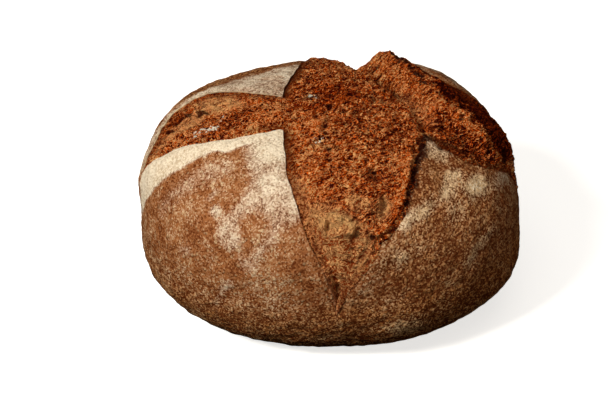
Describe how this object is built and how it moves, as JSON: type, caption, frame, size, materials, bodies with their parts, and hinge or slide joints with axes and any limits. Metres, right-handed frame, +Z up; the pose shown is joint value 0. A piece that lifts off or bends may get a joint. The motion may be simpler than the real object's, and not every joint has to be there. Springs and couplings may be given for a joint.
{
  "type": "whole wheat sourdough loaf",
  "caption": "Round hearth loaf of whole wheat sourdough with a floured crust, scored with a cross that burst open to show torn crumb; rests on a flat base.",
  "frame": {"origin": "middle of the loaf's flat base, on the surface that it stands on", "axes": "+Z up through the crown; -Y is the front, down which the longest arm of the burst runs; +X to the right seen from the front"},
  "size_m": [0.231, 0.2251, 0.1218],
  "materials": {
    "bread": "matte"
  },
  "bodies": {
    "root": {"loaf": "bread"}
  },
  "joints": []
}
